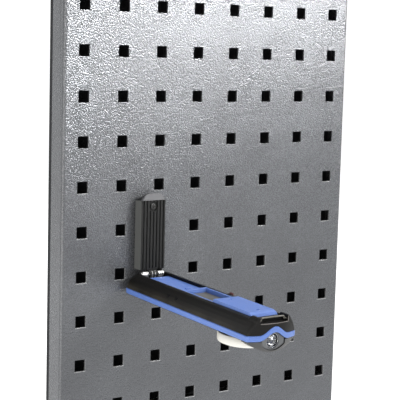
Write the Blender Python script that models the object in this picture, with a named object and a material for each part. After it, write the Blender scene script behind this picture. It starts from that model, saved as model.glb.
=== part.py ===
# Perforated steel tool panel on two rails and a black backing board, with a folding magnetic work lamp
# standing on it.
# Frame: X right, Y into the wall, Z up. The origin is on the back of the black board, level with the
# middle of the top rail, halfway across.
import math

import bmesh
import bpy
from mathutils import Matrix, Vector

mm = 0.001

# Panel: one pressed tray of sheet steel with square holes on a 1.5 inch pitch.
hole_pitch = 38.1 * mm
hole_side = 10.0 * mm
columns = 8
rows = 12
sheet = 1.5 * mm
panel_depth = 20.0 * mm
fold_radius = 2.6 * mm
board_thick = 6.0 * mm
panel_front = 26.3 * mm
gap = 0.3 * mm

# Rails: folded channels that stand between two rows of holes.
rail_height = 24.0 * mm
rail_sheet = 2.0 * mm
rail_end_drop = 12.0 * mm
wall_screw_x = 110.0 * mm

# Lamp: where its hinge lies, and how far it hangs below level.
lamp_x = -69.08 * mm
hinge_out = 10.36 * mm
hinge_z = -248.06 * mm
droop = math.radians(2.27)

# Foot that the magnets hold on the panel.
foot_half = 12.4 * mm
foot_low = 4.3 * mm
foot_high = 64.0 * mm
foot_front = 10.9 * mm
foot_back = 0.9 * mm
rib_pitch = 3.3 * mm
rib_count = 7
groove_wide = 1.5 * mm
groove_deep = 1.0 * mm
foot_screw_z = 58.9 * mm
magnet_radius = 7.9 * mm
magnet_heights = (18.0 * mm, 39.0 * mm)

# Lamp body, measured outward from the hinge (s) and up from the hinge (z).
body_half = 23.2 * mm
body_rear = -7.0 * mm
body_nose = 170.2 * mm
nose_bulge = 4.6 * mm
shell_low = -10.7 * mm
band_high = -11.0 * mm
band_low = -15.5 * mm
base_high = -15.8 * mm
base_low = -17.2 * mm
deck = -5.2 * mm
channel_half = 12.9 * mm
cover_half = 12.5 * mm
cover_low = -4.9 * mm
arch_rise = 6.6 * mm
arch_half = 14.0 * mm

# Round lamp head under the body, and the spot lamp in the nose.
head_s = 137.0 * mm
spot_z = -16.2 * mm
spot_radius = 5.9 * mm

# Push button on the right shoulder.
button_x = 17.6 * mm
button_s = 92.2 * mm
button_z = -0.5 * mm
button_tilt = math.radians(24)

# Wire bail across the slot in the nose.
bail_s = 169.9 * mm
bail_z = -0.2 * mm
bail_half = 10.8 * mm
bail_reach = 2.0 * mm
bail_wire = 0.8 * mm


for item in list(bpy.data.objects):
    bpy.data.objects.remove(item, do_unlink=True)


def paint(name, colour, roughness, metallic):
    material = bpy.data.materials.new(name)
    material.use_nodes = True
    shader = material.node_tree.nodes["Principled BSDF"]
    shader.inputs["Base Color"].default_value = (*colour, 1)
    shader.inputs["Roughness"].default_value = roughness
    shader.inputs["Metallic"].default_value = metallic
    return material


silver_paint = paint("silver_paint", (0.30, 0.31, 0.33), 0.45, 0.6)
zinc = paint("zinc", (0.55, 0.56, 0.58), 0.35, 1.0)
steel = paint("steel", (0.62, 0.62, 0.60), 0.3, 1.0)
black_plastic = paint("black_plastic", (0.025, 0.024, 0.022), 0.5, 0.0)
black_rubber = paint("black_rubber", (0.02, 0.02, 0.02), 0.75, 0.0)
blue_plastic = paint("blue_plastic", (0.13, 0.22, 0.75), 0.4, 0.0)
grey_plastic = paint("grey_plastic", (0.25, 0.25, 0.24), 0.5, 0.0)
frosted = paint("frosted_lens", (0.85, 0.83, 0.76), 0.4, 0.0)
clear = paint("clear_lens", (0.8, 0.82, 0.84), 0.08, 0.0)
chrome = paint("chrome", (0.8, 0.8, 0.8), 0.08, 1.0)
red_plastic = paint("red_plastic", (0.25, 0.02, 0.02), 0.35, 0.0)
board_green = paint("board_green", (0.03, 0.15, 0.06), 0.5, 0.0)
led_yellow = paint("led_yellow", (0.8, 0.65, 0.1), 0.5, 0.0)
black_board = paint("black_board", (0.012, 0.012, 0.013), 0.9, 0.0)
foil = paint("foil", (0.4, 0.42, 0.45), 0.5, 0.3)


def empty(name, location, rotation=(0, 0, 0), parent=None):
    item = bpy.data.objects.new(name, None)
    item.location = location
    item.rotation_euler = rotation
    item.parent = parent
    bpy.context.collection.objects.link(item)
    return item


def solid(name, bm, material, parent=None, location=(0, 0, 0), sharp=35):
    bmesh.ops.recalc_face_normals(bm, faces=bm.faces)
    mesh = bpy.data.meshes.new(name)
    bm.to_mesh(mesh)
    bm.free()
    item = bpy.data.objects.new(name, mesh)
    item.location = location
    item.parent = parent
    bpy.context.collection.objects.link(item)
    if material:
        mesh.materials.append(material)
        mesh.shade_smooth()
        mesh.set_sharp_from_angle(angle=math.radians(sharp))
    return item


def combine(target, bm, how="DIFFERENCE"):
    cutter = solid(target.name + "_cutter", bm, None, target.parent)
    cutter.hide_render = True
    cutter.display_type = "WIRE"
    modifier = target.modifiers.new(how.lower(), "BOOLEAN")
    modifier.operation = how
    modifier.solver = "EXACT"
    modifier.object = cutter


def block(x0, x1, y0, y1, z0, z1):
    bm = bmesh.new()
    size = Matrix.Diagonal((x1 - x0, y1 - y0, z1 - z0, 1))
    middle = Matrix.Translation(((x0 + x1) / 2, (y0 + y1) / 2, (z0 + z1) / 2))
    bmesh.ops.create_cube(bm, size=1, matrix=middle @ size)
    return bm


def body_block(half, s0, s1, z0, z1):
    return block(-half, half, -s1, -s0, z0, z1)


def along(axis):
    turn = Vector((0, 0, 1)).rotation_difference(Vector(axis))
    return turn.to_matrix().to_4x4()


def turned(profile, centre, axis, sides=24):
    # profile: (radius, height) pairs from one pole of the axis to the other
    bm = bmesh.new()
    place = Matrix.Translation(centre) @ along(axis)
    rings = []
    for radius, height in profile:
        if radius < 1e-9:
            rings.append([bm.verts.new(place @ Vector((0, 0, height)))])
            continue
        ring = []
        for k in range(sides):
            a = math.tau * k / sides
            spot = Vector((radius * math.cos(a), radius * math.sin(a), height))
            ring.append(bm.verts.new(place @ spot))
        rings.append(ring)
    for low, high in zip(rings, rings[1:]):
        for k in range(sides):
            j = (k + 1) % sides
            if len(low) == 1:
                bm.faces.new((low[0], high[j], high[k]))
            elif len(high) == 1:
                bm.faces.new((low[k], low[j], high[0]))
            else:
                bm.faces.new((low[k], low[j], high[j], high[k]))
    if len(rings[0]) > 1:
        bm.faces.new(rings[0])
    if len(rings[-1]) > 1:
        bm.faces.new(rings[-1])
    return bm


def rod(centre, axis, radius, low, high, sides=20):
    return turned([(radius, low), (radius, high)], centre, axis, sides)


def tube(centre, axis, inner, outer, low, high, sides=28):
    bm = bmesh.new()
    place = Matrix.Translation(centre) @ along(axis)
    rings = []
    for radius, height in ((outer, low), (outer, high), (inner, high), (inner, low)):
        ring = []
        for k in range(sides):
            a = math.tau * k / sides
            spot = Vector((radius * math.cos(a), radius * math.sin(a), height))
            ring.append(bm.verts.new(place @ spot))
        rings.append(ring)
    for n in range(4):
        here, there = rings[n], rings[(n + 1) % 4]
        for k in range(sides):
            j = (k + 1) % sides
            bm.faces.new((here[k], here[j], there[j], there[k]))
    return bm


def prism(points, low, high, axis):
    # points in the plane across the axis: (x, z) for y, (y, z) for x, (x, y) for z
    bm = bmesh.new()

    def spot(p, h):
        if axis == "x":
            return (h, p[0], p[1])
        if axis == "y":
            return (p[0], h, p[1])
        return (p[0], p[1], h)

    near = [bm.verts.new(spot(p, low)) for p in points]
    far = [bm.verts.new(spot(p, high)) for p in points]
    count = len(points)
    for k in range(count):
        j = (k + 1) % count
        bm.faces.new((near[k], near[j], far[j], far[k]))
    bm.faces.new(near)
    bm.faces.new(far)
    return bm


def loft(loops):
    bm = bmesh.new()
    rings = [[bm.verts.new(p) for p in loop] for loop in loops]
    count = len(rings[0])
    for low, high in zip(rings, rings[1:]):
        for k in range(count):
            j = (k + 1) % count
            bm.faces.new((low[k], low[j], high[j], high[k]))
    for cap in (rings[0], rings[-1]):
        face = bm.faces.new(cap)
        bmesh.ops.triangulate(bm, faces=[face])
    return bm


def nose_line(x):
    # the nose bows outward from its corners to its middle
    return body_nose + nose_bulge * (1 - (x / (20.7 * mm)) ** 2)


def plan(half, rear, shy, rear_round, nose_round):
    # outline of the lamp body seen from above: (x, s), its nose edge set back by shy
    points = []
    steps = 4
    flat = half - nose_round
    nose = nose_line(flat) - shy
    for k in range(steps + 1):
        a = math.pi / 2 * k / steps
        points.append((flat + nose_round * math.cos(a), nose - nose_round + nose_round * math.sin(a)))
    for k in range(1, 16):
        x = flat * (1 - k / 8)
        points.append((x, nose_line(x) - shy))
    for k in range(steps + 1):
        a = math.pi / 2 * k / steps
        x = -flat - nose_round * math.sin(a)
        points.append((x, nose - nose_round + nose_round * math.cos(a)))
    for k in range(steps + 1):
        a = math.pi / 2 * k / steps
        x = -half + rear_round - rear_round * math.cos(a)
        points.append((x, rear + rear_round - rear_round * math.sin(a)))
    for k in range(steps + 1):
        a = math.pi / 2 * k / steps
        x = half - rear_round + rear_round * math.sin(a)
        points.append((x, rear + rear_round - rear_round * math.cos(a)))
    return points


def arch(x, s):
    # the seam rises over the spot lamp at the nose
    if s < 150 * mm or abs(x) > arch_half:
        return 0.0
    return arch_rise * 0.5 * (1 + math.cos(math.pi * x / arch_half))


def level(points, z, arched=0.0):
    return [(x, -s, z + arched * arch(x, s)) for x, s in points]


# ---- panel ----
half_w = columns * hole_pitch / 2
top_z = hole_pitch
bottom_z = top_z - rows * hole_pitch
mid_z = (top_z + bottom_z) / 2
half_h = (top_z - bottom_z) / 2


def stops(count, start, end):
    # cell borders along one side: edge, then both sides of every hole, then edge
    step = (end - start) / count
    inset = fold_radius if end > start else -fold_radius
    side = hole_side / 2 if end > start else -hole_side / 2
    found = [start + inset]
    for k in range(count):
        middle = start + (k + 0.5) * step
        found += [middle - side, middle + side]
    return found + [end - inset]


def perforated_tray():
    bm = bmesh.new()
    xs = stops(columns, -half_w, half_w)
    zs = stops(rows, bottom_z, top_z)
    grid = [[bm.verts.new((x, -panel_front, z)) for z in zs] for x in xs]
    for i in range(len(xs) - 1):
        for j in range(len(zs) - 1):
            if i % 2 == 1 and j % 2 == 1:
                continue
            bm.faces.new((grid[i][j], grid[i + 1][j], grid[i + 1][j + 1], grid[i][j + 1]))
    low_edge = [grid[i][0] for i in range(len(xs))]
    right_edge = [grid[-1][j] for j in range(1, len(zs))]
    high_edge = [grid[i][-1] for i in range(len(xs) - 2, -1, -1)]
    left_edge = [grid[0][j] for j in range(len(zs) - 2, 0, -1)]
    ring = low_edge + right_edge + high_edge + left_edge
    flat_w = half_w - fold_radius
    flat_h = half_h - fold_radius
    path = []
    for k in range(1, 4):
        a = math.pi / 2 * k / 3
        path.append((fold_radius * math.sin(a), fold_radius * (1 - math.cos(a))))
    path.append((fold_radius, panel_depth))
    base = [v.co.copy() for v in ring]
    for grow, back in path:
        outer = []
        for co in base:
            x = co.x * (flat_w + grow) / flat_w
            z = mid_z + (co.z - mid_z) * (flat_h + grow) / flat_h
            outer.append(bm.verts.new((x, -panel_front + back, z)))
        count = len(ring)
        for k in range(count):
            j = (k + 1) % count
            bm.faces.new((ring[k], ring[j], outer[j], outer[k]))
        ring = outer
    for vert in list(bm.verts):
        if not vert.link_faces:
            bm.verts.remove(vert)
    return bm


panel = solid("perforated_panel", perforated_tray(), silver_paint)
for polygon in panel.data.polygons:
    if polygon.normal.y > 0.5:
        panel.data.flip_normals()
        break
thicken = panel.modifiers.new("sheet", "SOLIDIFY")
thicken.thickness = sheet
thicken.offset = -1
thicken.use_even_offset = True

# ---- black board that the rails are screwed to ----
board_box = block(-half_w + 1 * mm, half_w - 1 * mm, -board_thick, 0, bottom_z + 1 * mm, top_z - 1 * mm)
board = solid("back_board", board_box, black_board)


def wall_hole(x, z):
    return rod((x, 0, z), (0, 1, 0), 2.6 * mm, -12 * mm, 6 * mm)


# ---- rails, each a folded channel with an end tab at both sides ----
rail_back = board_thick + gap
rail_face = panel_front - sheet - gap
tab_x = half_w - sheet - gap
screw_y = -rail_back - 10.0 * mm
rail_heights = {"top": 0.0, "bottom": bottom_z + hole_pitch}
for side, z in rail_heights.items():
    low = z - rail_height / 2
    high = z + rail_height / 2
    floor = -rail_back - rail_sheet
    section = [(-rail_back, low), (-rail_back, high), (floor, high), (floor, low + rail_sheet)]
    section += [(-rail_face + rail_sheet, low + rail_sheet)]
    section += [(-rail_face + rail_sheet, high - rail_end_drop)]
    section += [(-rail_face, high - rail_end_drop), (-rail_face, low)]
    rail = solid(side + "_rail", prism(section, -tab_x + 1.6 * mm, tab_x - 1.6 * mm, "x"), zinc)
    for turn in (-1, 1):
        ends = sorted((turn * (tab_x - rail_sheet), turn * tab_x))
        tab = block(ends[0], ends[1], -rail_face + 1.6 * mm, -rail_back, low, high - 2 * mm)
        combine(rail, tab, "UNION")
    for turn in (-1, 1):
        hand = "left" if turn < 0 else "right"
        combine(rail, rod((turn * half_w, screw_y, z), (1, 0, 0), 2.0 * mm, -8 * mm, 8 * mm))
        combine(panel, rod((turn * half_w, screw_y, z), (1, 0, 0), 2.2 * mm, -8 * mm, 8 * mm))
        head = half_w + gap
        tip = tab_x - rail_sheet - 4 * mm
        shape = [(1.4, tip), (1.4, head), (3.6, head), (3.4, head + 1.4 * mm), (2.2, head + 2.1 * mm)]
        shape = [(r * mm, h) for r, h in shape]
        screw = turned(shape, (0, screw_y, z), (turn, 0, 0), 16)
        fastener = solid("panel_screw_%s_%s" % (side, hand), screw, zinc)
        slot = block(-0.5 * mm, 0.5 * mm, screw_y - 2.6 * mm, screw_y + 2.6 * mm, z - 0.5 * mm, z + 0.5 * mm)
        bmesh.ops.translate(slot, verts=slot.verts, vec=(turn * (head + 2.1 * mm), 0, 0))
        combine(fastener, slot)
        combine(rail, wall_hole(turn * wall_screw_x, z + 2 * mm))
        combine(board, wall_hole(turn * wall_screw_x, z + 2 * mm))
        under = rail_back + rail_sheet + gap
        shape = [(0, -under - 2.2 * mm), (2.6 * mm, -under - 2.2 * mm), (4.0 * mm, -under - 1.4 * mm)]
        shape += [(4.0 * mm, -under), (2.2 * mm, -under), (2.2 * mm, 14 * mm), (0.6 * mm, 18 * mm)]
        screw = turned(shape, (turn * wall_screw_x, 0, z + 2 * mm), (0, 1, 0), 16)
        solid("wall_screw_%s_%s" % (side, hand), screw, zinc)

# ---- foot: ribbed cover, steel tip, backing plate and two magnets ----
foot = empty("foot_mount", (lamp_x, -panel_front, hinge_z))


def ribbed_section():
    points = [(foot_half, -foot_back), (foot_half, -foot_front + 0.6 * mm)]
    points += [(foot_half - 0.2 * mm, -foot_front + 0.2 * mm), (foot_half - 0.6 * mm, -foot_front)]
    first = rib_pitch * (rib_count - 1) / 2
    for k in range(rib_count):
        middle = first - k * rib_pitch
        points.append((middle + groove_wide / 2, -foot_front))
        points.append((middle + groove_wide / 2 - 0.2 * mm, -foot_front + groove_deep))
        points.append((middle - groove_wide / 2 + 0.2 * mm, -foot_front + groove_deep))
        points.append((middle - groove_wide / 2, -foot_front))
    points += [(-foot_half + 0.6 * mm, -foot_front), (-foot_half + 0.2 * mm, -foot_front + 0.2 * mm)]
    points += [(-foot_half, -foot_front + 0.6 * mm), (-foot_half, -foot_back)]
    return points


cover = solid("foot_cover", prism(ribbed_section(), foot_low, foot_high, "z"), black_plastic, foot)
knuckle_half = 4.2 * mm
tongue = block(-knuckle_half, knuckle_half, -foot_front, -hinge_out + 3.4 * mm, -0.4 * mm, foot_low + 1 * mm)
combine(cover, tongue, "UNION")
combine(cover, rod((0, -hinge_out, 0), (1, 0, 0), 3.6 * mm, -knuckle_half, knuckle_half, 28), "UNION")
combine(cover, rod((0, -hinge_out, 0), (1, 0, 0), 1.5 * mm, -9 * mm, 9 * mm, 20))
combine(cover, block(-10.4 * mm, 10.4 * mm, -8.6 * mm, 0, 6.5 * mm, 51 * mm))
combine(cover, block(-8.3 * mm, 8.3 * mm, -6.3 * mm, -3.0 * mm, 50.5 * mm, 66 * mm))
combine(cover, rod((0, 0, foot_screw_z), (0, -1, 0), 4.4 * mm, 9.2 * mm, 12 * mm, 28))
combine(cover, rod((0, 0, foot_screw_z), (0, -1, 0), 1.7 * mm, 5 * mm, 10 * mm, 16))

tip_outline = [(-11.6 * mm, foot_high + gap), (11.6 * mm, foot_high + gap)]
for k in range(7):
    a = math.pi * k / 6
    tip_outline.append((7.6 * mm * math.cos(a) + (1.6 * mm if a < 1.5 else -1.6 * mm if a > 1.6 else 0),
                        foot_high + 3.2 * mm + 3.2 * mm * math.sin(a)))
tip = solid("foot_tip", prism(tip_outline, -foot_front, -8.5 * mm, "y"), steel, foot)
combine(tip, block(-7.4 * mm, 7.4 * mm, -8.7 * mm, -3.3 * mm, foot_high + gap, foot_high + 2 * mm), "UNION")
combine(tip, block(-8.0 * mm, 8.0 * mm, -6.0 * mm, -3.4 * mm, 53 * mm, foot_high + 1.8 * mm), "UNION")
combine(tip, rod((0, 0, foot_screw_z), (0, -1, 0), 1.6 * mm, 2 * mm, 8 * mm, 16))
screw = turned([(1.3 * mm, 3.9 * mm), (1.3 * mm, 9.5 * mm), (2.9 * mm, 9.5 * mm), (2.7 * mm, 10.3 * mm),
                (1.6 * mm, 10.7 * mm)], (0, 0, foot_screw_z), (0, -1, 0), 18)
head = solid("foot_screw", screw, zinc, foot)
for turn in (0, 1):
    reach = (2.0, 0.4) if turn else (0.4, 2.0)
    combine(head, block(-reach[0] * mm, reach[0] * mm, -11 * mm, -10.1 * mm,
                        foot_screw_z - reach[1] * mm, foot_screw_z + reach[1] * mm))

back = solid("foot_backing", block(-10.1 * mm, 10.1 * mm, -2.4 * mm, -0.6 * mm, 6.8 * mm, 50.7 * mm), steel, foot)
for name, z in zip(("lower", "upper"), magnet_heights):
    combine(back, rod((0, 0, z), (0, -1, 0), magnet_radius + gap, -1 * mm, 4 * mm, 32))
    magnet = turned([(magnet_radius - 0.4 * mm, 0.4 * mm), (magnet_radius, 0.8 * mm), (magnet_radius, 7.4 * mm)],
                    (0, 0, z), (0, -1, 0), 32)
    solid("foot_magnet_" + name, magnet, zinc, foot)

# ---- lamp: everything here turns on the hinge ----
lamp = empty("lamp_hinge", (lamp_x, -panel_front - hinge_out, hinge_z), (droop, 0, 0))

pin = [(0, -11.6), (1.9, -11.6), (1.9, -10.9), (1.2, -10.9), (1.2, 10.9), (1.9, 10.9), (1.9, 11.6), (0, 11.6)]
pin = [(r * mm, h * mm) for r, h in pin]
solid("hinge_pin", turned(pin, (0, 0, 0), (1, 0, 0), 20), steel, lamp)

leaf = solid("hinge_leaf", body_block(12.4 * mm, -4.5 * mm, 6.6 * mm, cover_low, -3.9 * mm), steel, lamp)
for turn in (-1, 1):
    ends = sorted((turn * 5.3 * mm, turn * 10.5 * mm))
    combine(leaf, block(ends[0] + 0.2 * mm, ends[1] - 0.2 * mm, -2.3 * mm, 2.3 * mm, -4.4 * mm, 0.1 * mm), "UNION")
    combine(leaf, rod((0, 0, 0), (1, 0, 0), 2.6 * mm, ends[0], ends[1], 28), "UNION")
combine(leaf, rod((0, 0, 0), (1, 0, 0), 1.5 * mm, -14 * mm, 14 * mm, 20))
for turn, hand in ((-1, "left"), (1, "right")):
    ends = sorted((turn * 4.5 * mm, turn * 5.0 * mm))
    solid("hinge_washer_" + hand, tube((0, 0, 0), (1, 0, 0), 1.5 * mm, 2.6 * mm, ends[0], ends[1], 24), steel, lamp)

# upper shell: the sides round over to the two ridges beside the channel
outer = []
for z, half, rear, shy, rear_round, nose_round in (
    (shell_low, body_half, body_rear, 0.0 * mm, 5.0 * mm, 2.5 * mm),
    (-7.6 * mm, 22.3 * mm, -6.8 * mm, 0.1 * mm, 5.2 * mm, 2.6 * mm),
    (-4.4 * mm, 20.7 * mm, -6.2 * mm, 0.3 * mm, 5.6 * mm, 2.8 * mm),
    (-1.6 * mm, 18.7 * mm, -5.2 * mm, 0.6 * mm, 6.0 * mm, 3.0 * mm),
    (0.3 * mm, 16.4 * mm, -3.8 * mm, 1.1 * mm, 6.0 * mm, 3.0 * mm),
    (1.0 * mm, 14.4 * mm, -2.4 * mm, 2.0 * mm, 6.0 * mm, 3.0 * mm),
):
    outer.append(level(plan(half, rear, shy, rear_round, nose_round), z))
shell = solid("upper_shell", loft(outer), black_plastic, lamp)

# the seam's arch is cut along the nose
tunnel = []
for k in range(17):
    x = arch_half * (1 - k / 8)
    tunnel.append((x, shell_low + arch(x, body_nose) + (0.0 if 0 < k < 16 else -0.001 * mm)))
tunnel += [(-arch_half, -16 * mm), (arch_half, -16 * mm)]
combine(shell, prism(tunnel, -180 * mm, -160.6 * mm, "y"))

# raised crown of the nose, on both sides of the bail slot
crown = []
for z, half, rear, shy in (
    (-3.6 * mm, 18.6 * mm, 161.2 * mm, 0.4 * mm),
    (0.4 * mm, 17.0 * mm, 161.4 * mm, 0.6 * mm),
    (2.0 * mm, 15.6 * mm, 162.0 * mm, 0.9 * mm),
    (2.7 * mm, 14.4 * mm, 162.8 * mm, 1.5 * mm),
):
    crown.append(level(plan(half, rear, shy, 1.0 * mm, 2.0 * mm), z))
combine(shell, loft(crown), "UNION")
inner = []
for z, half in ((-18.0 * mm, 20.9 * mm), (-9.6 * mm, 20.4 * mm), (-7.3 * mm, 18.8 * mm)):
    inner.append(level(plan(half, -4.6 * mm, 14.0 * mm, 4.0 * mm, 3.0 * mm), z))
combine(shell, loft(inner))
combine(shell, body_block(channel_half, -12 * mm, 160.9 * mm, deck, 8 * mm))
combine(shell, body_block(12.9 * mm, 160.0 * mm, 168.0 * mm, 0.4 * mm, 8 * mm))
combine(shell, body_block(13.1 * mm, 167.2 * mm, 180 * mm, -2.1 * mm, 8 * mm))
for turn in (-1, 1):
    combine(shell, rod((turn * bail_half, -bail_s, bail_z), (turn, 0, 0), 1.15 * mm, 0, 4.0 * mm, 16))
boss_spots = ((-9.0 * mm, 8.0 * mm), (9.0 * mm, 8.0 * mm), (-9.0 * mm, 100.0 * mm), (9.0 * mm, 100.0 * mm))
for x, s in boss_spots:
    combine(shell, rod((x, -s, 0), (0, 0, 1), 2.8 * mm, base_high + gap, -6.4 * mm, 20), "UNION")
    combine(shell, rod((x, -s, 0), (0, 0, 1), 1.2 * mm, -18 * mm, -8.5 * mm, 12))

# button pocket, square to the shoulder
button_axis = Vector((math.sin(button_tilt), 0, math.cos(button_tilt)))
button_seat = Vector((button_x, -button_s, button_z))
combine(shell, rod(button_seat, button_axis, 3.5 * mm, -2.6 * mm, 5 * mm, 24))
combine(shell, rod(button_seat, button_axis, 2.5 * mm, -5.4 * mm, 5 * mm, 24))

# charge lights on the left shoulder
light_axis = Vector((-0.84, 0, 0.54)).normalized()
light_spots = {"rear": 58.0 * mm, "front": 69.6 * mm}
for name, s in light_spots.items():
    seat = Vector((-20.75 * mm, -s, -4.6 * mm))
    combine(shell, rod(seat, light_axis, 1.6 * mm, -2.4 * mm, 3 * mm, 16))
    lens = turned([(1.3 * mm, -2.1 * mm), (1.3 * mm, -0.1 * mm), (0.8 * mm, 0.15 * mm)], seat, light_axis, 16)
    solid("charge_light_" + name, lens, clear, lamp)

# blue band: a ring between the shells that arches over the spot lamp
band_out = plan(23.45 * mm, -7.25 * mm, -0.25 * mm, 5.2 * mm, 2.7 * mm)
band_in = plan(21.2 * mm, -5.0 * mm, 2.0 * mm, 3.4 * mm, 1.6 * mm)


def band_ring():
    bm = bmesh.new()
    loops = [level(band_out, band_low + 0.5 * mm, 1), level(band_out, band_high - 0.5 * mm, 1)]
    edge = plan(23.0 * mm, -6.8 * mm, 0.2 * mm, 4.9 * mm, 2.4 * mm)
    loops += [level(edge, band_high, 1), level(band_in, band_high, 1), level(band_in, band_low, 1)]
    loops += [level(edge, band_low, 1)]
    rings = [[bm.verts.new(p) for p in loop] for loop in loops]
    count = len(rings[0])
    for n in range(len(rings)):
        here, there = rings[n], rings[(n + 1) % len(rings)]
        for k in range(count):
            j = (k + 1) % count
            bm.faces.new((here[k], here[j], there[j], there[k]))
    return bm


solid("blue_band", band_ring(), blue_plastic, lamp)

# lower shell: a shallow plate, with a lip that drops round the spot lamp
low_loops = []
for z, half, rear, shy in (
    (base_high, 22.8 * mm, -6.6 * mm, 0.4 * mm),
    (-16.3 * mm, 21.4 * mm, -5.2 * mm, 1.2 * mm),
    (base_low, 17.4 * mm, -1.4 * mm, 4.0 * mm),
):
    low_loops.append(level(plan(half, rear, shy, 5.0 * mm, 2.4 * mm), z))
base = solid("lower_shell", loft(low_loops), black_plastic, lamp)
lip_steps = 20


def lip_low(x):
    return -24.8 * mm + 8.6 * mm * (x / (22.8 * mm)) ** 2


lip_points = []
for k in range(lip_steps + 1):
    x = 22.6 * mm * (1 - 2 * k / lip_steps)
    lip_points.append((x, -16.0 * mm))
for k in range(lip_steps + 1):
    x = -22.6 * mm * (1 - 2 * k / lip_steps)
    lip_points.append((x, min(lip_low(x), -16.6 * mm)))
lip = solid("lip_guide", prism(lip_points, -180 * mm, -161.5 * mm, "y"), None, lamp)
lip.hide_render = True
lip.display_type = "WIRE"
front = loft([level(plan(22.7 * mm, 120 * mm, 0.5 * mm, 4 * mm, 3 * mm), -14 * mm),
              level(plan(22.2 * mm, 120 * mm, 1.1 * mm, 4 * mm, 3 * mm), -20 * mm),
              level(plan(20.6 * mm, 120 * mm, 2.9 * mm, 4 * mm, 3 * mm), -26 * mm)])
combine(lip, front, "INTERSECT")
union = base.modifiers.new("lip", "BOOLEAN")
union.operation = "UNION"
union.solver = "EXACT"
union.object = lip

bezel_half = 10.8 * mm


def bezel_outline(grow):
    points = []
    steps = 12
    half = bezel_half + grow
    for k in range(steps + 1):
        x = half * (1 - 2 * k / steps)
        points.append((x, band_low + arch(x, body_nose) - gap + grow))
    for k in range(steps + 1):
        x = -half * (1 - 2 * k / steps)
        points.append((x, -23.3 * mm + 4.2 * mm * (x / bezel_half) ** 2 - grow))
    return points


combine(base, prism(bezel_outline(gap), -180 * mm, -163.0 * mm, "y"))
combine(base, rod((0, 0, spot_z), (0, -1, 0), 6.2 * mm, 160.5 * mm, 164 * mm, 32))
for x, s in boss_spots:
    combine(base, rod((x, -s, 0), (0, 0, 1), 1.5 * mm, -20 * mm, -14 * mm, 16))

# spot lamp: grey bezel, chrome bowl, board, chip and lens
spot = (0, 0, spot_z)
bezel = solid("spot_bezel", prism(bezel_outline(0), -171.6 * mm, -163.4 * mm, "y"), grey_plastic, lamp)
combine(bezel, rod(spot, (0, -1, 0), spot_radius + gap, 160 * mm, 180 * mm, 32))
bowl = [(1.9, 163.8), (5.9, 163.8), (5.9, 171.0), (5.5, 171.0), (5.0, 169.0), (3.9, 166.6), (1.9, 164.9)]


def ring_of(profile, centre, axis, sides):
    bm = bmesh.new()
    place = Matrix.Translation(centre) @ along(axis)
    rings = []
    for radius, height in profile:
        ring = []
        for k in range(sides):
            a = math.tau * k / sides
            point = Vector((radius * mm * math.cos(a), radius * mm * math.sin(a), height * mm))
            ring.append(bm.verts.new(place @ point))
        rings.append(ring)
    for n in range(len(rings)):
        here, there = rings[n], rings[(n + 1) % len(rings)]
        for k in range(sides):
            j = (k + 1) % sides
            bm.faces.new((here[k], here[j], there[j], there[k]))
    return bm


solid("spot_reflector", ring_of(bowl, spot, (0, -1, 0), 32), chrome, lamp)
solid("spot_board", rod(spot, (0, -1, 0), 5.8 * mm, 161.6 * mm, 163.1 * mm, 28), board_green, lamp)
solid("spot_chip", rod(spot, (0, -1, 0), 1.3 * mm, 163.4 * mm, 164.6 * mm, 16), led_yellow, lamp)
dome = [(0, 165.6), (1.6, 165.6), (4.3, 169.4), (4.3, 170.2), (3.4, 171.2), (1.8, 171.9), (0, 172.1)]
dome = [(r * mm, h * mm) for r, h in dome]
solid("spot_lens", turned(dome, spot, (0, -1, 0), 28), clear, lamp)

# round head: grey ring, board, chip and the frosted lens cup
head = (0, -head_s, 0)
ring = tube(head, (0, 0, 1), 17.4 * mm, 19.8 * mm, -19.9 * mm, base_low - gap, 40)
solid("head_ring", ring, grey_plastic, lamp)
solid("head_board", rod(head, (0, 0, 1), 17.0 * mm, -19.2 * mm, base_low - gap, 40), board_green, lamp)
solid("head_chip", block(-7 * mm, 7 * mm, -head_s - 7 * mm, -head_s + 7 * mm, -20.4 * mm, -19.5 * mm), led_yellow, lamp)
cup = [(0, -27.2), (7.0, -27.1), (13.5, -26.6), (18.2, -25.6), (20.8, -24.2), (21.8, -22.6), (22.0, -17.6)]
cup += [(20.2, -17.6), (20.0, -22.2), (19.0, -23.2), (16.8, -24.2), (12.5, -25.1), (6.5, -25.6), (0, -25.7)]
cup = [(r * mm, h * mm) for r, h in cup]
solid("head_lens", turned(cup, head, (0, 0, 1), 48), frosted, lamp)

# blue channel cover with the finger pocket and the raised plate
side_view = [(7.0, -4.9), (7.0, -1.9), (7.4, -1.5), (56.0, -1.5), (64.0, 0.9), (108.4, 0.9), (109.3, 3.3)]
side_view += [(155.6, 3.3), (158.6, 2.0), (160.2, 0.2), (160.5, -4.9)]
side_view = [(-s * mm, z * mm) for s, z in side_view]
top = solid("channel_cover", prism(side_view, -cover_half, cover_half, "x"), blue_plastic, lamp)
for turn in (-1, 1):
    edge = prism([(turn * 12.0 * mm, 3.5 * mm), (turn * 14 * mm, 3.5 * mm), (turn * 14 * mm, 1.2 * mm),
                  (turn * 12.5 * mm, 1.2 * mm)], -170 * mm, -100 * mm, "y")
    combine(top, edge)
combine(top, body_block(10.7 * mm, 67.0 * mm, 107.4 * mm, -8 * mm, 4 * mm))
combine(top, body_block(10.5 * mm, 112.0 * mm, 154.0 * mm, -8 * mm, 1.6 * mm))
combine(top, block(-1.5 * mm, 3.0 * mm, -55.4 * mm, -53.2 * mm, -2 * mm, -1.0 * mm), "UNION")
for s in (115.3 * mm, 151.2 * mm):
    combine(top, block(-1.6 * mm, 1.6 * mm, -s - 0.7 * mm, -s + 0.7 * mm, 2.6 * mm, 4 * mm))
plate = body_block(10.4 * mm, 67.3 * mm, 107.1 * mm, cover_low, -2.4 * mm)
solid("catch_plate", plate, steel, lamp)

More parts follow.
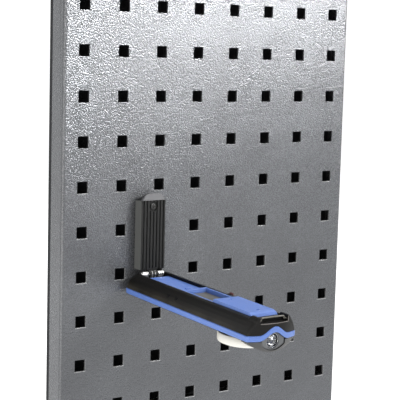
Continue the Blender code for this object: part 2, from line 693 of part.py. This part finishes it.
# battery, board and the four housing screws
cell = body_block(14.0 * mm, 13.0 * mm, 90.0 * mm, -15.2 * mm, -8.2 * mm)
bmesh.ops.bevel(cell, geom=[e for e in cell.edges], offset=1.6 * mm, segments=2, affect="EDGES", profile=0.6)
solid("battery_pack", cell, foil, lamp)
solid("main_board", body_block(15.0 * mm, 112.0 * mm, 154.0 * mm, -12.6 * mm, -11.0 * mm), board_green, lamp)
names = ("rear_left", "rear_right", "front_left", "front_right")
for name, (x, s) in zip(names, boss_spots):
    shape = [(0, -18.4), (1.4, -18.4), (2.3, -18.1), (2.3, -17.5), (0.9, -17.5), (0.9, -9.4), (0, -9.0)]
    shape = [(r * mm, h * mm) for r, h in shape]
    solid("shell_screw_" + name, turned(shape, (x, -s, 0), (0, 0, 1), 16), zinc, lamp)

# ---- push button: slides along its own axis ----
solid("button_bezel", tube(button_seat, button_axis, 2.4 * mm, 3.2 * mm, -2.3 * mm, 0.7 * mm, 24), black_rubber, lamp)
press = empty("button_slide", button_seat, (0, button_tilt, 0), lamp)
cap = [(0, -3.1), (2.1, -3.1), (2.1, 1.6), (1.8, 2.1), (1.0, 2.5), (0, 2.6)]
cap = [(r * mm, h * mm) for r, h in cap]
solid("power_button", turned(cap, (0, 0, 0), (0, 0, 1), 24), red_plastic, press)
solid("button_switch", rod(button_seat, button_axis, 2.1 * mm, -5.1 * mm, -4.4 * mm, 20), black_plastic, lamp)

# ---- wire bail: swings forward on its two turned ends ----
bail_pivot = empty("bail_pivot", (0, -bail_s, bail_z), (0, 0, 0), lamp)


def bail_path():
    # turned end, leg, cross bar, leg, turned end, with rounded corners
    bend = 0.9 * mm
    corners = [(-bail_half - 3.5 * mm, 0), (-bail_half, 0), (-bail_half, bail_reach)]
    corners += [(bail_half, bail_reach), (bail_half, 0), (bail_half + 3.5 * mm, 0)]
    points = [Vector((corners[0][0], 0, corners[0][1]))]
    for before, at, after in zip(corners, corners[1:], corners[2:]):
        a, b, c = (Vector((p[0], 0, p[1])) for p in (before, at, after))
        start = b + (a - b).normalized() * bend
        end = b + (c - b).normalized() * bend
        for k in range(5):
            t = k / 4
            points.append(start * (1 - t) ** 2 + b * 2 * t * (1 - t) + end * t * t)
    points.append(Vector((corners[-1][0], 0, corners[-1][1])))
    return points


curve = bpy.data.curves.new("bail_wire", "CURVE")
curve.dimensions = "3D"
curve.bevel_depth = bail_wire
curve.bevel_resolution = 2
curve.use_fill_caps = True
spline = curve.splines.new("POLY")
path = bail_path()
spline.points.add(len(path) - 1)
for point, place in zip(spline.points, path):
    point.co = (*place, 1)
bail = bpy.data.objects.new("bail_wire", curve)
curve.materials.append(steel)
bail.parent = bail_pivot
bpy.context.collection.objects.link(bail)
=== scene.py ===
import math

import bmesh
import bpy
import numpy as np
from mathutils import Matrix, Vector


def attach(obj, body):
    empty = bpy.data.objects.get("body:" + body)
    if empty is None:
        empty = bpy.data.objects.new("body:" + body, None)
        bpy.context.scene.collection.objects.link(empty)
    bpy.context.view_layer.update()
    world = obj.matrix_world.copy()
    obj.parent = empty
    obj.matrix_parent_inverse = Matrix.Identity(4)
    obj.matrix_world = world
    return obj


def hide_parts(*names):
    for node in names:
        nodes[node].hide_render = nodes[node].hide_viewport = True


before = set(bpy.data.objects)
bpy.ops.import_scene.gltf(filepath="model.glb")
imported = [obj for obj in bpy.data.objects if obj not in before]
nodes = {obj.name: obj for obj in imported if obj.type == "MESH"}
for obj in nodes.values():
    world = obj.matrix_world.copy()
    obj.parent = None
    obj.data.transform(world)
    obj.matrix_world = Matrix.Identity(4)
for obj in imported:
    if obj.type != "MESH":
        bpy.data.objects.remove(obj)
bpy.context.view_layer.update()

mm = 0.001
print("frame loaded:", len(nodes), "nodes")

# the lamp's hinge, in mm, and how far the lamp hangs below level
lampAt = {"x": -69.08, "panelFront": -26.3, "hingeOut": 10.36, "hingeZ": -248.06, "droop": math.radians(2.27)}


class Wire:
    # one output of a node; sums and products of wires add Math nodes
    def __init__(self, tree, socket):
        self.tree = tree
        self.socket = socket

    def node(self, kind, settings=None, values=None, out=0):
        made = self.tree.nodes.new("ShaderNode" + kind)
        for name, value in (settings or {}).items():
            setattr(made, name, value)
        for key, value in (values or {}).items():
            self.feed(made.inputs[key], value)
        return Wire(self.tree, made.outputs[out])

    def feed(self, socket, value):
        if isinstance(value, Wire):
            self.tree.links.new(value.socket, socket)
        elif socket.type == "RGBA" and len(value) == 3:
            socket.default_value = (*value, 1)
        else:
            socket.default_value = value

    def maths(self, how, first, second=0.0):
        return self.node("Math", {"operation": how}, {0: first, 1: second})

    def __add__(self, other):
        return self.maths("ADD", self, other)

    def __radd__(self, other):
        return self.maths("ADD", other, self)

    def __sub__(self, other):
        return self.maths("SUBTRACT", self, other)

    def __rsub__(self, other):
        return self.maths("SUBTRACT", other, self)

    def __mul__(self, other):
        return self.maths("MULTIPLY", self, other)

    def __rmul__(self, other):
        return self.maths("MULTIPLY", other, self)

    def __truediv__(self, other):
        return self.maths("DIVIDE", self, other)

    def __lt__(self, other):
        return self.maths("LESS_THAN", self, other)

    def between(self, low, high):
        return self.maths("GREATER_THAN", self, low) * (self < high)

    def step(self, low, high):
        # 0 below low, 1 above high, smooth between
        return self.node("MapRange", {"interpolation_type": "SMOOTHSTEP"},
                         {"Value": self, "From Min": low, "From Max": high})

    def noise(self, scale, detail=2.0, rough=0.5):
        values = {"Vector": self, "Scale": scale, "Detail": detail, "Roughness": rough}
        return self.node("TexNoise", None, values)

    def stretch(self, scale):
        return self.node("Mapping", None, {"Vector": self, "Scale": scale})

    def tint(self, dark, light):
        # this value picks a colour between dark and light; either may be a wire
        return self.node("Mix", {"data_type": "RGBA"}, {0: self, 6: dark, 7: light}, out=2)

    def axes(self):
        return [self.node("SeparateXYZ", None, {0: self}, out) for out in (0, 1, 2)]


def finish(name, colour, rough, metal=0.0, bump=None, depth=0.1, reach=0.001, **fixed):
    # a Principled surface; colour and rough may be functions of the place wire
    material = bpy.data.materials.new(name)
    material.use_nodes = True
    tree = material.node_tree
    shader = tree.nodes["Principled BSDF"]
    place = Wire(tree, None).node("TexCoord", out="Object")
    given = {"Base Color": colour, "Roughness": rough, "Metallic": metal}
    for key, value in given.items():
        place.feed(shader.inputs[key], value(place) if callable(value) else value)
    if bump:
        relief = place.node("Bump", None, {"Strength": depth, "Distance": reach, "Height": bump(place)})
        place.feed(shader.inputs["Normal"], relief)
    for key, value in fixed.items():
        place.feed(shader.inputs[key.replace("_", " ")], value)
    return material


# hammered paint: even grey, with shallow cells that only show where light glances off them
hammer = {"grain": 1150.0, "cell": 950.0, "fleck": 1500.0, "rimHighlightGrey": (0.55, 0.55, 0.55),
          "dark": (0.112, 0.115, 0.122), "light": (0.130, 0.135, 0.143)}
# the rims of the square holes, in parts of their pitch from the middle of a hole
rim = {"pitch": 38.1, "inner": 0.130, "right": 0.139, "low": 0.147}


def rimHighlight(place):
    # painted highlight: 1 on the lower and right rims of the square holes, where their punched edges catch
    # the light, fading out towards the top of the panel
    x, y, z = place.axes()
    across = x.maths("FRACT", x / (rim["pitch"] * mm)) - 0.5
    up = z.maths("FRACT", z / (rim["pitch"] * mm)) - 0.5
    low = up.between(-rim["low"], -rim["inner"]) * across.between(-0.137, rim["right"])
    right = across.between(rim["inner"], rim["right"]) * up.between(-0.140, 0.131)
    # the painted highlight is full below z = -0.28 m and gone above z = -0.10 m
    fade = (-0.10 - z).step(0.0, 0.18)
    return (low + right * 0.6) * fade * 0.65


def hammeredColour(place):
    cloud = place.noise(14.0, 4.0, 0.55).step(0.3, 0.7)
    fleck = place.noise(hammer["fleck"], 1.0, 0.5).step(0.55, 0.75)
    painted = (cloud * 0.75 + fleck * 0.5).tint(hammer["dark"], hammer["light"])
    # mix the painted highlight of the hole rims into the grey paint
    return rimHighlight(place).tint(painted, hammer["rimHighlightGrey"])


def hammeredRelief(place):
    values = {"Vector": place, "Scale": hammer["cell"], "Smoothness": 0.35}
    pebble = place.node("TexVoronoi", {"feature": "SMOOTH_F1"}, values)
    return place.noise(hammer["fleck"], 1.0, 0.5) * 0.3 - pebble


hammeredPaint = finish("hammeredPaint", hammeredColour,
                       lambda p: 0.17 + 0.22 * p.noise(hammer["grain"]).step(0.4, 0.6), 0.6,
                       hammeredRelief, 0.45, 0.0006)


def patchy(scale, detail, dark, light):
    return lambda p: p.noise(scale, detail).tint(dark, light)


def uneven(base, swing, scale, detail=2.0, rough=0.5):
    return lambda p: base + swing * p.noise(scale, detail, rough)


def grainy(scale, detail=2.0, rough=0.5):
    return lambda p: p.noise(scale, detail, rough)


def brushed(detail, dark, light, rough=0.5):
    # noise drawn out along x, like the marks of an abrasive belt
    return lambda p: p.stretch((60, 2600, 2600)).noise(1.0, detail, rough).tint(dark, light)


def mouldedBlack(place):
    dust = place.noise(70.0, 4.0, 0.65).step(0.45, 0.75)
    return (dust * 0.8 + place.noise(1900.0, 2.0) * 0.2).tint((0.009, 0.0085, 0.0075), (0.022, 0.020, 0.017))


def housingBlack(place):
    # painted reflection: the lower flanks towards the seam are painted greyer-brown in patches, standing in
    # for the light they reflect from below, and the shoulders stay black
    x, y, z = place.axes()
    slope = round(lampAt["droop"], 4)
    hingeY = (lampAt["panelFront"] - lampAt["hingeOut"]) * mm
    height = (z - lampAt["hingeZ"] * mm) * math.cos(slope) - (y - hingeY) * math.sin(slope)
    low = (1.0 - height.step(-0.0110, -0.0035)) * (y + 0.192).step(0.0, 0.007)
    # painted reflection, in noise patches over the lower flank
    paintedSheen = low * place.noise(45.0, 3.0, 0.6).step(0.2, 0.7)
    return paintedSheen.tint((0.0055, 0.005, 0.0045), (0.034, 0.030, 0.023))


def footBlackLitSides(place):
    # black ribs, and smooth sides painted pale grey: a painted sheen for the light the sides reflect at a
    # glancing angle
    x, y, z = place.axes()
    off = (x - lampAt["x"] * mm) * (x - lampAt["x"] * mm)
    # painted sheen on the sides, beyond about 12.1 mm either side of the foot's middle
    side = off.step(0.0001470, 0.0001525)
    speck = place.noise(900.0, 3.0, 0.6)
    return (side * 0.85 + speck * 0.15).tint((0.010, 0.010, 0.010), (0.11, 0.113, 0.11))


# colour, roughness, metal, then the height of the relief with its strength and reach
blackBoard = finish("blackBoard",
                    lambda p: p.noise(420.0, 4.0, 0.7).tint((0.006, 0.007, 0.009), (0.016, 0.017, 0.02)), 0.9,
                    0.0, grainy(700.0, 3.0), 0.3)
zincPlate = finish("zincPlate", patchy(160.0, 3.0, (0.42, 0.43, 0.45), (0.66, 0.67, 0.68)),
                   uneven(0.24, 0.22, 300.0, 4.0), 1.0, grainy(900.0, 3.0), 0.12)
steelSheet = finish("steelSheet", brushed(2.0, (0.315, 0.315, 0.3075), (0.42, 0.42, 0.41), 0.6),
                    uneven(0.26, 0.2, 240.0, 3.0), 1.0,
                    lambda p: p.stretch((60, 2600, 2600)).noise(1.0), 0.15)
# dark worn steel; on the catch plate in the floor of the finger pocket its darkness is painted shade of the
# recess
wornAndShadedSteel = finish("wornAndShadedSteel", brushed(3.0, (0.13, 0.125, 0.11), (0.24, 0.23, 0.20)),
                   uneven(0.38, 0.2, 160.0, 4.0), 0.7)
tipSteel = finish("tipSteel", brushed(3.0, (0.11, 0.11, 0.115), (0.17, 0.17, 0.175)),
                  uneven(0.5, 0.15, 200.0, 3.0), 0.55)
blackOxide = finish("blackOxide", patchy(500.0, 3.0, (0.012, 0.012, 0.012), (0.035, 0.035, 0.033)),
                    uneven(0.4, 0.2, 700.0, 3.0), 0.3, grainy(1500.0), 0.1, 0.0004)
chromeBowl = finish("chromeBowl", patchy(500.0, 2.0, (0.44, 0.45, 0.46), (0.56, 0.56, 0.57)), 0.13, 1.0)
blackMoulding = finish("blackMoulding", mouldedBlack, uneven(0.36, 0.2, 90.0, 4.0, 0.6), 0.0,
                       grainy(2400.0, 2.0, 0.6), 0.22, 0.0004, Specular_IOR_Level=0.36)
trayMoulding = finish("trayMoulding",
                      lambda p: p.noise(80.0, 4.0, 0.6).tint((0.016, 0.016, 0.016), (0.040, 0.040, 0.039)),
                      uneven(0.26, 0.12, 90.0, 4.0), 0.0, grainy(2400.0, 2.0, 0.6), 0.15, 0.0004,
                      Specular_IOR_Level=0.8)
housing = finish("housing", housingBlack, uneven(0.36, 0.2, 90.0, 4.0, 0.6), 0.0,
                 grainy(2400.0, 2.0, 0.6), 0.22, 0.0004, Specular_IOR_Level=0.22)
footMoulding = finish("footMoulding", footBlackLitSides, uneven(0.34, 0.2, 120.0, 4.0, 0.6), 0.0,
                      grainy(2400.0, 2.0, 0.6), 0.2, 0.0004, Specular_IOR_Level=0.16)
softRubber = finish("softRubber", patchy(800.0, 3.0, (0.012, 0.012, 0.012), (0.03, 0.029, 0.028)),
                    0.8, 0.0, grainy(2200.0), 0.3, 0.0004)
blueMoulding = finish("blueMoulding", patchy(60.0, 3.0, (0.095, 0.18, 0.50), (0.115, 0.21, 0.56)),
                      uneven(0.30, 0.14, 110.0, 3.0), 0.0, grainy(2000.0, 2.0), 0.14, 0.0004)
greyMoulding = finish("greyMoulding", patchy(120.0, 3.0, (0.10, 0.105, 0.11), (0.135, 0.14, 0.145)),
                      0.34, 0.1, grainy(1800.0), 0.1, 0.0004)
redButton = finish("redButton", patchy(400.0, 2.0, (0.045, 0.004, 0.005), (0.08, 0.007, 0.008)),
                   0.4, 0.0, grainy(2400.0), 0.1, 0.0004)
# grey for the thin rim at the bail's slot, a painted highlight along the slot's edge
slotHighlightGrey = finish("slotHighlightGrey", patchy(300.0, 3.0, (0.09, 0.08, 0.075), (0.2, 0.18, 0.17)), 0.35)
clearLens = finish("clearLens", patchy(300.0, 2.0, (0.55, 0.57, 0.60), (0.66, 0.67, 0.69)), 0.06,
                   Transmission_Weight=1.0, IOR=1.49)
frostedCup = finish("frostedCup", patchy(90.0, 3.0, (0.68, 0.67, 0.62), (0.79, 0.78, 0.73)), 0.42, 0.0,
                    grainy(1500.0), 0.15, 0.0004)
smokedLens = finish("smokedLens", patchy(600.0, 2.0, (0.003, 0.003, 0.004), (0.008, 0.008, 0.010)), 0.4,
                    Specular_IOR_Level=0.15)
greenBoard = finish("greenBoard", patchy(700.0, 3.0, (0.012, 0.09, 0.035), (0.03, 0.16, 0.06)), 0.35)
phosphor = finish("phosphor", patchy(1400.0, 2.0, (0.75, 0.58, 0.08), (0.86, 0.72, 0.18)), 0.5)
foilWrap = finish("foilWrap", patchy(150.0, 4.0, (0.40, 0.42, 0.46), (0.55, 0.57, 0.6)), 0.35, 0.4,
                  grainy(220.0, 4.0), 0.4)

finishOf = {
    hammeredPaint: ("perforated_panel",),
    blackBoard: ("back_board",),
    zincPlate: ("top_rail", "bottom_rail", "foot_magnet_lower", "foot_magnet_upper",
                *[n for n in nodes if "_screw_" in n]),
    tipSteel: ("foot_tip",),
    steelSheet: ("foot_backing", "hinge_leaf", "hinge_pin", "hinge_washer_left", "hinge_washer_right",
                 "bail_wire"),
    # catch plate: steel darkened as painted shade in its pocket
    wornAndShadedSteel: ("catch_plate",),
    blackOxide: ("foot_screw",),
    smokedLens: ("charge_light_rear", "charge_light_front"),
    housing: ("upper_shell",),
    footMoulding: ("foot_cover",),
    blackMoulding: ("button_switch",),
    trayMoulding: ("lower_shell",),
    softRubber: ("button_bezel",),
    blueMoulding: ("blue_band", "channel_cover"),
    greyMoulding: ("spot_bezel", "head_ring"),
    chromeBowl: ("spot_reflector",),
    clearLens: ("spot_lens",),
    frostedCup: ("head_lens",),
    redButton: ("power_button",),
    greenBoard: ("spot_board", "head_board", "main_board"),
    phosphor: ("spot_chip", "head_chip"),
    foilWrap: ("battery_pack",),
}
for material, names in finishOf.items():
    for name in names:
        mesh = nodes[name].data
        mesh.materials.clear()
        mesh.materials.append(material)
print("finishes given")


def gridMesh(name, points, closeU=False, closeV=False):
    # points: rows by columns by 3; neighbouring points join into four-sided faces, and doubles are merged
    rows, columns = points.shape[:2]
    i = np.arange(rows if closeU else rows - 1)[:, None]
    j = np.arange(columns if closeV else columns - 1)[None, :]
    nextI, nextJ = (i + 1) % rows, (j + 1) % columns
    faces = np.stack(np.broadcast_arrays(i * columns + j, nextI * columns + j, nextI * columns + nextJ,
                                         i * columns + nextJ), axis=-1).reshape(-1, 4)
    mesh = bpy.data.meshes.new(name)
    mesh.from_pydata(points.reshape(-1, 3).tolist(), [], faces.tolist())
    work = bmesh.new()
    work.from_mesh(mesh)
    bmesh.ops.remove_doubles(work, verts=work.verts, dist=0.000001)
    bmesh.ops.recalc_face_normals(work, faces=work.faces)
    work.to_mesh(mesh)
    work.free()
    mesh.polygons.foreach_set("use_smooth", np.ones(len(mesh.polygons), bool))
    mesh.update()
    piece = bpy.data.objects.new(name, mesh)
    bpy.context.scene.collection.objects.link(piece)
    return piece


def onLamp(x, s, z):
    # lamp measures in mm: x across, s outward from the hinge, z up, turned down by the droop
    cos, sin = math.cos(lampAt["droop"]), math.sin(lampAt["droop"])
    x, s, z = np.broadcast_arrays(np.asarray(x, float), np.asarray(s, float), np.asarray(z, float))
    y = lampAt["panelFront"] - lampAt["hingeOut"] - s * cos - z * sin
    return np.stack((lampAt["x"] + x, y, lampAt["hingeZ"] - s * sin + z * cos), axis=-1) * mm


def onFoot(x, out, z):
    # foot measures in mm: x across, out from the panel's face, z up from the hinge
    x, out, z = np.broadcast_arrays(np.asarray(x, float), np.asarray(out, float), np.asarray(z, float))
    return np.stack((lampAt["x"] + x, lampAt["panelFront"] - out, lampAt["hingeZ"] + z), axis=-1) * mm


def spin(profile, sides):
    # a profile (radius, height) turned once round: x and y are the radius by cosine and sine
    angle = np.linspace(0, 2 * np.pi, sides, endpoint=False)[:, None]
    radius, height = np.asarray(profile, float).T
    radius = radius[None, :] * np.ones_like(angle)
    return radius * np.cos(angle), radius * np.sin(angle), np.broadcast_to(height, radius.shape)


def smoothLine(points, count):
    # evenly spaced points on a Catmull-Rom curve through the given points
    points = np.asarray(points, float)
    ends = np.vstack((2 * points[0] - points[1], points, 2 * points[-1] - points[-2]))
    t = np.linspace(0, len(points) - 1 - 1e-9, count)
    k = t.astype(int)
    f = (t - k)[:, None]
    a, b, c, d = ends[k], ends[k + 1], ends[k + 2], ends[k + 3]
    square = 2 * a - 5 * b + 4 * c - d
    cube = 3 * b - a - 3 * c + d
    return 0.5 * (2 * b + (c - a) * f + square * f ** 2 + cube * f ** 3)


def tubeAlong(path, radius, sides=12):
    # circles of one radius square to the path, with a pole at both ends
    path = np.asarray(path, float)
    ahead = np.gradient(path, axis=0)
    ahead /= np.linalg.norm(ahead, axis=1)[:, None]
    side = np.cross(ahead, (0.123, 0.321, 0.94))
    side /= np.linalg.norm(side, axis=1)[:, None]
    other = np.cross(ahead, side)
    angle = np.linspace(0, 2 * np.pi, sides, endpoint=False)
    rings = (path[:, None, :] + radius * (np.cos(angle)[None, :, None] * side[:, None, :]
             + np.sin(angle)[None, :, None] * other[:, None, :]))
    start = np.broadcast_to(path[0], rings[:1].shape)
    end = np.broadcast_to(path[-1], rings[:1].shape)
    return np.concatenate((start, rings, end))


def addPiece(name, points, material, body, slotName, *stoodFor, closeU=False, closeV=True):
    piece = gridMesh(name, points, closeU, closeV)
    piece.data.materials.append(material)
    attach(piece, body)
    if stoodFor:
        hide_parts(*stoodFor)
    return piece


# lens cup under the head: the face climbs as a high power of the radius, with a small cosine for each ring
cup = {"s": 137.0, "rim": 22.0, "face": 21.0, "rise": 2.4, "low": -27.2, "top": -17.6, "rings": 9,
       "ringDepth": 0.12}
t = np.linspace(0, 1, 90)
ripple = cup["ringDepth"] * 0.5 * (1 - np.cos(2 * np.pi * cup["rings"] * t)) * (t < 0.999)
face = np.stack((cup["face"] * t ** 0.8, cup["low"] + cup["rise"] * t ** 3.6 + ripple), axis=-1)
bend = np.linspace(0, np.pi / 2, 9)[1:]
shoulder = np.stack((cup["face"] + (cup["rim"] - cup["face"]) * np.sin(bend),
                     cup["low"] + cup["rise"] + 2.0 * (1 - np.cos(bend))), axis=-1)
inside = [(cup["rim"], cup["top"]), (20.4, cup["top"]), (20.2, -22.4), (19.0, -23.6), (12.0, -25.2)]
inside += [(0.0, -25.7)]
profile = np.vstack((face, shoulder, inside))
x, y, z = spin(profile, 128)
addPiece("lensCup", onLamp(x, cup["s"] + y, z), frostedCup, "lamp", "frosted_lens", "head_lens",
         closeU=True, closeV=False)

# spot lamp: the bowl's radius falls as a root of its depth, and the bead ends in half an ellipse
spotAt = {"z": -16.2, "mouth": 5.55, "throat": 1.9, "outer": 5.9, "front": 171.0, "depth": 6.2, "back": 163.8,
          "bead": 4.3}
t = np.linspace(0, 1, 24)
root = (1 - t) ** 0.55
bowlIn = np.stack((spotAt["mouth"] * root + spotAt["throat"] * (1 - root),
                   spotAt["front"] - spotAt["depth"] * t), axis=-1)
back = [(spotAt["throat"], spotAt["back"])]
side = [(spotAt["outer"], spotAt["back"]), (spotAt["outer"], spotAt["front"])]
bowl = np.vstack((back, side, bowlIn, back))
x, y, h = spin(bowl, 96)
addPiece("spotBowl", onLamp(x, h, spotAt["z"] + y), chromeBowl, "lamp", "chrome", "spot_reflector",
         closeU=True, closeV=False)
bend = np.linspace(0, np.pi / 2, 16)
bead = np.vstack(([(0, 165.6), (1.6, 165.6), (4.2, 169.2)],
                  np.stack((spotAt["bead"] * np.cos(bend), 169.8 + 2.3 * np.sin(bend)), axis=-1)))
x, y, h = spin(bead, 64)
addPiece("spotBead", onLamp(x, h, spotAt["z"] + y), clearLens, "lamp", "clear_lens", "spot_lens",
         closeU=True, closeV=False)

# wire bail in the nose: a round wire along a smooth curve through the bend points
bailAt = {"s": 169.9, "z": -0.2, "wire": 0.62}
half = np.array([(14.3, 0.0), (11.9, 0.0), (11.0, 0.25), (10.8, 1.0), (10.4, 1.85), (9.4, 2.0)])
corner = np.vstack((half * (-1, 1), [(0.0, 2.05)], half[::-1]))
line = smoothLine(corner, 120)
wire = onLamp(line[:, 0], bailAt["s"], bailAt["z"] + line[:, 1])
addPiece("bailLoop", tubeAlong(wire, bailAt["wire"] * mm), wornAndShadedSteel, "bail", "steel", "bail_wire")

# thin grey rim below the bail's slot and up its right end, a painted highlight along the slot's edge: its
# reach outward falls with the square of x
rimAt = {"half": 13.1, "low": -2.05, "high": 1.7, "wire": 0.28, "front": 169.85, "bulge": 4.6,
         "noseHalf": 20.7}
rimX = np.concatenate((np.linspace(-rimAt["half"], rimAt["half"], 40), np.full(12, rimAt["half"])))
rimZ = np.concatenate((np.full(40, rimAt["low"]), np.linspace(rimAt["low"], rimAt["high"], 12)))
rimS = rimAt["front"] + rimAt["bulge"] * (1 - (rimX / rimAt["noseHalf"]) ** 2)
rimTube = tubeAlong(onLamp(rimX, rimS, rimZ), rimAt["wire"] * mm, 10)
addPiece("slotHighlightRim", rimTube, slotHighlightGrey, "lamp", "black_body")

# hinge: three ribs that drift sideways as a sine while they run round the middle knuckle, and two flat straps
ribs = {"at": (-2.9, 0.0, 2.9), "drift": 0.6, "radius": 3.35, "wire": 0.55}
straps = {"at": (-1.45, 1.45), "half": 0.55, "radius": 3.72, "thick": 0.3}
sweepAngle = np.linspace(np.radians(35), np.radians(205), 40)
for k, across in enumerate(ribs["at"]):
    # angle 0 points up and 90 degrees points outward
    out = lampAt["hingeOut"] + ribs["radius"] * np.sin(sweepAngle)
    up = ribs["radius"] * np.cos(sweepAngle)
    shift = across + ribs["drift"] * np.sin(np.linspace(-1.2, 1.2, 40))
    addPiece("hingeRib%d" % (k + 1), tubeAlong(onFoot(shift, out, up), ribs["wire"] * mm, 10), blackMoulding,
             "foot", "black_body")
for k, across in enumerate(straps["at"]):
    edge = np.array([(-1, 0.0), (-1, 1.0), (1, 1.0), (1, 0.0)])
    radius = straps["radius"] - straps["thick"] + straps["thick"] * edge[:, 1]
    x = across + straps["half"] * edge[:, 0][None, :] * np.ones((len(sweepAngle), 1))
    out = lampAt["hingeOut"] + radius[None, :] * np.sin(sweepAngle[:, None])
    up = radius[None, :] * np.cos(sweepAngle[:, None])
    points = onFoot(x, out, up)
    middle = points.mean(axis=1, keepdims=True)
    points = np.concatenate((np.broadcast_to(middle[:1], points[:1].shape), points,
                             np.broadcast_to(middle[-1:], points[:1].shape)))
    addPiece("hingeStrap%d" % (k + 1), points, steelSheet, "foot", "steel")
print("lens, spot, nose and hinge pieces made")

# the small radius that a moulded, pressed or sawn part has on its edges
edgeRadius = {"channel_cover": 0.4, "upper_shell": 0.25, "lower_shell": 0.25, "foot_cover": 0.18,
              "foot_tip": 0.3, "perforated_panel": 0.3, "hinge_leaf": 0.2, "spot_bezel": 0.25,
              "catch_plate": 0.2, "top_rail": 0.4, "bottom_rail": 0.4}
for name, radius in edgeRadius.items():
    weld = nodes[name].modifiers.new("weld", "WELD")
    weld.merge_threshold = 0.000002
    rounding = nodes[name].modifiers.new("rounding", "BEVEL")
    rounding.width = radius * mm
    rounding.segments = 2
    rounding.limit_method = "ANGLE"
    rounding.angle_limit = math.radians(40)
    rounding.harden_normals = True
print("edges rounded")

eye = {"at": (-0.64645, -0.93450, -0.05165), "right": (0.82187, -0.56908, 0.02606),
       "up": (0.04809, 0.11488, 0.99221), "ahead": (0.56765, 0.81422, -0.12178), "lens": 112.54}
cameraData = bpy.data.cameras.new("camera")
cameraData.lens = eye["lens"]
cameraData.sensor_width = 36.0
cameraData.clip_start = 0.05
cameraData.clip_end = 30.0
camera = bpy.data.objects.new("camera", cameraData)
turn = Matrix((eye["right"], eye["up"], [-v for v in eye["ahead"]])).transposed()
camera.matrix_world = Matrix.Translation(eye["at"]) @ turn.to_4x4()
bpy.context.scene.collection.objects.link(camera)
bpy.context.scene.camera = camera


sweepAt = {"half": 7.0, "front": -3.2, "flat": 5.4, "bend": 1.2, "length": 9.6, "low": -0.47}


def sweepSurface():
    # a floor that curves up into a backdrop: y runs back, then both y and z follow a quarter turn
    across = np.linspace(-sweepAt["half"], sweepAt["half"], 3)
    reach = np.linspace(0.0, 1.0, 60) * sweepAt["length"]
    bend = sweepAt["bend"]
    turned = np.clip((reach - sweepAt["flat"]) / bend, 0.0, np.pi / 2)
    y = sweepAt["front"] + np.minimum(reach, sweepAt["flat"]) + bend * np.sin(turned)
    climb = np.maximum(reach - sweepAt["flat"] - bend * np.pi / 2, 0.0)
    z = sweepAt["low"] + bend * (1 - np.cos(turned)) + climb
    gridX, gridY = np.meshgrid(across, y, indexing="ij")
    return np.stack((gridX, gridY, np.broadcast_to(z, gridX.shape)), axis=-1)


floor = gridMesh("floor", sweepSurface())
paleFloor = finish("paleFloor", patchy(3.0, 2.0, (0.78, 0.78, 0.78), (0.8, 0.8, 0.8)), 0.8,
                   Emission_Color=(1, 1, 1, 1), Emission_Strength=0.55)
floor.data.materials.append(paleFloor)


def softBox(name, at, aim, size, power, colour=(1, 1, 1), spread=180):
    data = bpy.data.lights.new(name, "AREA")
    data.shape = "RECTANGLE"
    data.size, data.size_y = size
    data.energy = power
    data.color = colour
    data.spread = math.radians(spread)
    item = bpy.data.objects.new(name, data)
    item.location = at
    item.rotation_euler = (Vector(aim) - Vector(at)).to_track_quat("-Z", "Y").to_euler()
    bpy.context.scene.collection.objects.link(item)


softBox("stripLight", (0.66, -0.98, 0.33), (0.03, 0.0, 0.12), (0.95, 0.2), 3.4, (1.0, 0.995, 0.985), 44)
softBox("topLight", (0.45, -0.30, 1.1), (0.0, -0.14, -0.26), (0.6, 0.5), 15.0)
softBox("sideLight", (0.95, -0.28, 0.05), (-0.02, -0.10, -0.27), (0.3, 0.3), 0.5)
softBox("fillLight", (-1.3, -0.9, -0.35), (0.0, -0.1, -0.25), (1.0, 0.7), 12.5, (1.0, 0.97, 0.92))
softBox("backLight", (0.6, 1.6, 0.9), (0.0, 0.0, -0.2), (1.2, 1.2), 12.0)
world = bpy.data.worlds.new("world")
world.use_nodes = True
world.node_tree.nodes["Background"].inputs[0].default_value = (0.94, 0.95, 0.96, 1)
world.node_tree.nodes["Background"].inputs[1].default_value = 0.53
bpy.context.scene.world = world
bpy.context.scene.view_settings.view_transform = "Standard"
print("camera and light set")
